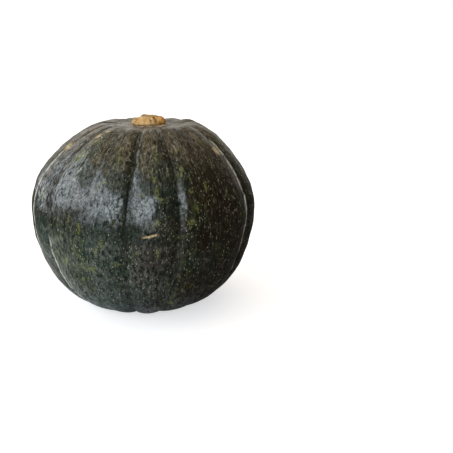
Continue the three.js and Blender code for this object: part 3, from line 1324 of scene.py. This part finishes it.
@dataclass
class Stem:
    """The stub of the stem: a low corky knob with blunt angles, a cleft and a lobe beside it.

    Its heights are told from the foot of its axis, in the middle of the seat.
    """

    centre: Place = (0.0045, 0.0, 0.1547)
    base_radius: float = 0.0136
    base_rise: float = 0.0018
    base_tuck: float = 0.0014
    foot_low: float = -0.00025
    foot_high: float = 0.0004
    fade_low: float = -0.0003
    side_handle: float = 0.00462
    rim_handle: float = 0.0049
    rim_run: float = 0.0012
    rim_rise: float = 0.0002
    rim_brown: Span = (-0.0009, 0.0001)
    cut_radius: float = 0.0068
    cut_floor_radius: float = 0.0044
    cut_sink: float = 0.0006
    height: float = 0.007
    cut_lean: float = 0.0004
    angles: int = 5
    angle_swell: float = 0.0007
    ridges: int = 17
    ridge_swell: float = 0.0003
    cleft_azimuth: float = 35.0
    cleft_width: float = 12.0
    cleft_depth: float = 0.001
    cleft_bottom: float = 0.001
    cleft_top: float = 0.004
    notch_bottom: float = 0.0036
    shade_azimuth: float = 47.0
    shade_width: float = 28.0
    shade_heights: Span = (0.0042, 0.00168)
    lobe_azimuth: float = 82.0
    lobe_width: float = 46.0
    lobe_middle: float = 0.0046
    lobe_rise: float = 0.0042
    lobe_reach: float = 0.0001
    lobe_lift: float = 0.0019
    lumps: tuple[Span, ...] = ((0.0045, 0.0016), (0.0016, 0.0007))
    still_foot: Span = (0.0, 0.0015)
    columns: int = 120
    side_rows: int = 26
    rim_rows: int = 8
    finish: CorkFinish = CorkFinish()

    @property
    def lobe_place(self) -> Place:
        """The middle of the lobe beyond the cleft.

        Returns:
            Its place on the stem's side.
        """
        turn = math.radians(self.lobe_azimuth)
        x, y, z = self.centre
        across, back = self.base_radius * math.sin(turn), self.base_radius * math.cos(turn)
        return (x + across, y - back, z + self.lobe_middle)

    @property
    def rim_heights(self) -> Span:
        """The heights between which the sides turn to the dry brown of the rim."""
        low, high = (self.centre[2] + self.height + away for away in self.rim_brown)
        return (low, high)

    def outline(self) -> np.ndarray:
        """The stem's outline, from its edge on the seat up and over to the rim of the cut.

        Returns:
            A radius and a height above the base to each row.
        """
        tucked = self.base_radius - self.base_tuck
        foot = np.array([(tucked, self.foot_low), (self.base_radius, self.foot_high)])
        rim = (self.cut_radius, self.height)
        floor = (self.cut_floor_radius, self.height - self.cut_sink)
        side = bezier(
            (
                (self.base_radius, self.base_rise),
                (tucked, self.side_handle),
                (self.cut_radius + self.base_tuck, self.rim_handle),
                rim,
            ),
            self.side_rows,
        )
        inward = (rim[0] - self.rim_run, rim[1] + self.rim_rise)
        outward = (floor[0] + self.rim_run, floor[1])
        over = bezier((rim, inward, outward, floor), self.rim_rows)
        middle = np.linspace(self.cut_floor_radius, 0.0, 9)[1:]
        flat = np.stack([middle, np.full_like(middle, floor[1])], axis=1)
        return np.vstack([foot, side, over[1:], flat])

    def build(self) -> bpy.types.Object:
        """Makes the stem.

        Returns:
            The finished piece.
        """
        rows = np.vstack([(0.0, self.foot_low), self.outline()])
        sculpt = Sculpt.turned("stem_stub", rows, self.centre, 0.0, [(360.0, self.columns)])
        x, y, z = (sculpt.points - self.centre).T
        radius = np.hypot(x, y)
        azimuth = np.degrees(np.arctan2(x, -y))
        fade = ease(radius, self.cut_floor_radius, self.base_radius)
        fade *= ease(z, self.fade_low, self.base_rise)
        angles = self.angle_swell * np.cos(np.radians(azimuth * self.angles))
        ridges = self.ridge_swell * np.cos(np.radians(azimuth * self.ridges))
        cleft = hump(turn_between(azimuth, self.cleft_azimuth), self.cleft_width)
        cleft *= ease(z, self.cleft_bottom, self.cleft_top)
        # Painted shade: where the dark notch at the top of the cleft is coloured.
        painted_pit_shade = cleft * ease(z, self.notch_bottom, self.cleft_top)
        sculpt.carry("painted_pit_shade", painted_pit_shade * ease(radius, self.cut_floor_radius, self.cut_radius))
        # Painted shade under and beside the lobe.
        shade = hump(turn_between(azimuth, self.shade_azimuth), self.shade_width)
        sculpt.carry("shade", shade * ease(z, *self.shade_heights))
        sculpt.push(fade * (angles + ridges - self.cleft_depth * cleft))
        lobe = hump(turn_between(azimuth, self.lobe_azimuth), self.lobe_width)
        lobe *= hump(z - self.lobe_middle, self.lobe_rise)
        lobe *= ease(radius, self.cut_floor_radius, self.base_radius - self.base_tuck)
        lean = self.cut_lean * (np.clip(z, 0.0, None) / self.height) ** 2
        sculpt.push(self.lobe_reach * lobe + lean, Side.ALONG_X)
        sculpt.push(self.lobe_lift * lobe, Side.ALONG_Z)
        sculpt.roughen(self.lumps, ease(z, *self.still_foot))
        return sculpt.finish(self.finish.material(self), "stem", "cork")


@dataclass(frozen=True)
class Camera:
    """The camera, aimed past the fruit and turned a little about its own line of sight.

    Its place is told from the point that it circles, and its focal length in the image's pixels.
    """

    circled: Place = (0.0, 0.0, 0.081)
    distance: float = 0.65
    elevation: float = 14.195
    aim: Place = (0.071844, 0.0, 0.064809)
    roll: float = 1.142
    focal_pixels: float = 749.05

    def build(self) -> bpy.types.Object:
        """Places the camera.

        Returns:
            The camera.
        """
        bpy.ops.object.camera_add()
        camera = bpy.context.object
        camera.name = "camera"
        camera.data.sensor_width = SENSOR_WIDTH
        camera.data.lens = self.focal_pixels / IMAGE_SIDE * SENSOR_WIDTH
        tilt = math.radians(self.elevation)
        sight = Vector((0.0, -math.cos(tilt), math.sin(tilt)))
        place = Vector(self.circled) + self.distance * sight
        level = (Vector(self.aim) - place).to_track_quat("-Z", "Y").to_matrix()
        turned = level @ Matrix.Rotation(math.radians(self.roll), 3, "Z")
        camera.matrix_world = Matrix.Translation(place) @ turned.to_4x4()
        bpy.context.scene.camera = camera
        return camera


@dataclass(frozen=True)
class Glow:
    """One soft-edged window of light in the surround, between two elevations."""

    azimuth: float
    half_width: float
    lowest: float
    highest: float
    radiance: float
    tint: Place = (0.96, 1.05, 1.14)
    edge: float = 13.0
    foot: float = 13.0


@dataclass(frozen=True)
class Sheen:
    """One soft-edged stretch of the floor that is bright to the fruit alone, out to the horizon."""

    azimuth: float
    half_width: float
    near: float
    far: float
    radiance: float
    edge: float = 14.0


@dataclass(frozen=True)
class Studio:
    """A plain pale floor in a dim surround with soft windows of light round it and above."""

    floor_size: float = 16.0
    floor_bounce: Span = (0.95, 0.1)
    bounce_reach: Span = (0.34, 0.14)
    bounce_side: Span = (0.15, -0.09)
    floor_seen: Colour = paint(0.62, 0.6, 0.6)
    floor_own_light: float = 0.58
    sheens: tuple[Sheen, ...] = (
        Sheen(-85.0, 36.0, 1.0, 3.0, 1.0),
        Sheen(-6.0, 26.0, 0.5, 1.4, 1.9),
    )
    backdrop: float = 1.0
    fill: float = 0.025
    glows: tuple[Glow, ...] = (
        Glow(-113.5, 13.5, -2.0, 36.0, 3.0, edge=20.0, foot=5.0),
        Glow(-66.5, 13.5, 13.0, 35.0, 3.15, edge=20.0, foot=13.0),
        Glow(-10.0, 22.0, 14.0, 29.0, 4.0, edge=20.0, foot=16.0),
        Glow(180.0, 36.0, -10.0, 38.0, 1.2, (1.05, 1.0, 0.92)),
        Glow(-45.0, 180.0, 66.0, 100.0, 1.2, (1.18, 1.0, 0.74)),
        Glow(95.0, 46.0, -10.0, 24.0, 0.045, (1.9, 0.8, 0.3)),
    )

    def build(self) -> None:
        """Lays the floor and lights the surround."""
        bpy.ops.object.select_all(action="DESELECT")
        bpy.ops.mesh.primitive_plane_add(size=self.floor_size)
        floor = bpy.context.object
        floor.name = "floor"
        floor.data.materials.append(self._pale())
        self._surround()
        bpy.context.scene.view_settings.view_transform = "Standard"

    def _pale(self) -> bpy.types.Material:
        """Makes the floor's material: pale to look at, and to the fruit dim apart from its sheens.

        Returns:
            The material.
        """
        graph = ShaderGraph(bpy.data.materials.new("floor_pale"))
        seen = graph.node("ShaderNodeLightPath", output="Is Camera Ray")
        here = graph.node("ShaderNodeTexCoord", output="Object")
        away = graph.vector("LENGTH", here, output="Value")
        x, y = (graph.part(here, axis) for axis in "XY")
        azimuth = graph.azimuth(x, y)
        lit = 0.0
        for sheen in self.sheens:
            aside = graph.beside(azimuth, sheen.azimuth, sheen.half_width, sheen.edge)
            lit = aside * graph.rise(away, sheen.near, sheen.far) * sheen.radiance + lit
        own = lit + (self.floor_own_light - lit) * seen
        bright, dim = (paint(*(bounce,) * 3) for bounce in self.floor_bounce)
        near = graph.rise(away, *self.bounce_reach) * graph.rise(x, *self.bounce_side)
        tone = graph.mix(seen, graph.mix(near, dim, bright), self.floor_seen)
        matt = graph.node("ShaderNodeBsdfDiffuse", {}, {"Color": tone})
        glow = graph.node("ShaderNodeEmission", {}, {"Strength": own})
        both = graph.node("ShaderNodeAddShader", {}, {0: matt, 1: glow})
        graph.node("ShaderNodeOutputMaterial", {}, {"Surface": both})
        return graph.owner

    def _surround(self) -> None:
        """Lights the surround, and gives it the floor's tone where it is looked at."""
        world = bpy.data.worlds.new("surround")
        bpy.context.scene.world = world
        graph = ShaderGraph(world)
        way = graph.node("ShaderNodeTexCoord", output="Generated")
        x, y, z = (graph.part(way, axis) for axis in "XYZ")
        azimuth = graph.azimuth(x, y)
        elevation = graph.math("DEGREES", graph.math("ARCSINE", z))
        light = (self.fill,) * 3
        for glow in self.glows:
            aside = graph.beside(azimuth, glow.azimuth, glow.half_width, glow.edge)
            above = graph.rise(elevation, glow.lowest - glow.foot, glow.lowest)
            below = graph.rise(elevation, glow.highest + glow.edge, glow.highest)
            parts = {axis: aside * above * below for axis in "XYZ"}
            patch = graph.node("ShaderNodeCombineXYZ", {}, parts)
            tinted = tuple(glow.radiance * part for part in glow.tint)
            light = graph.vector("ADD", light, graph.vector("MULTIPLY", patch, tinted))
        seen = graph.node("ShaderNodeLightPath", output="Is Camera Ray")
        tone = graph.mix(seen, light, paint(*(self.backdrop,) * 3))
        background = graph.node("ShaderNodeBackground", {}, {"Color": tone})
        graph.node("ShaderNodeOutputWorld", {}, {"Surface": background})


def main() -> None:
    """Builds the scene."""
    logging.basicConfig(level=logging.INFO, format="%(name)s: %(message)s")
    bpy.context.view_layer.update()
    Camera().build()
    Studio().build()
    pieces = [Fruit().build(), Stem().build()]


if __name__ == "__main__":
    main()
